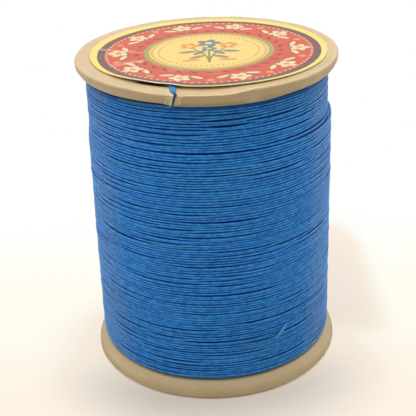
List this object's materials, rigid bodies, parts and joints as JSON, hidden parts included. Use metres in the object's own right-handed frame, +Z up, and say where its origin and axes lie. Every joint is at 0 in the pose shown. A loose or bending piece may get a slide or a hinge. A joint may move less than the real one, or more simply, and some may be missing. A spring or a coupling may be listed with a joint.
{
  "type": "waxed thread spool",
  "caption": "Flanged thread reel: moulded end discs on a core tube, wound with waxed linen thread, with round paper end labels and a thread-catch slit.",
  "frame": {"origin": "centre of the face the reel stands on, on the reel's axis", "axes": "+Z up along the reel's axis, -Y towards the viewer with the catch slit just left of it, +X to the right"},
  "size_m": [0.0534, 0.0534, 0.0677],
  "materials": {
    "moulding": "satin tan moulding with a light sheen",
    "thread": "waxed linen, royal blue, soft shine",
    "label_paper": "printed coated paper, slightly glossy",
    "board": "grey-brown spiral-wound board"
  },
  "bodies": {
    "root": {"core_tube": "board", "bottom_flange": "moulding", "top_flange": "moulding", "thread_winding": "thread", "thread_start": "thread", "thread_tail": "thread", "top_label": "label_paper", "bottom_label": "label_paper"}
  },
  "joints": []
}
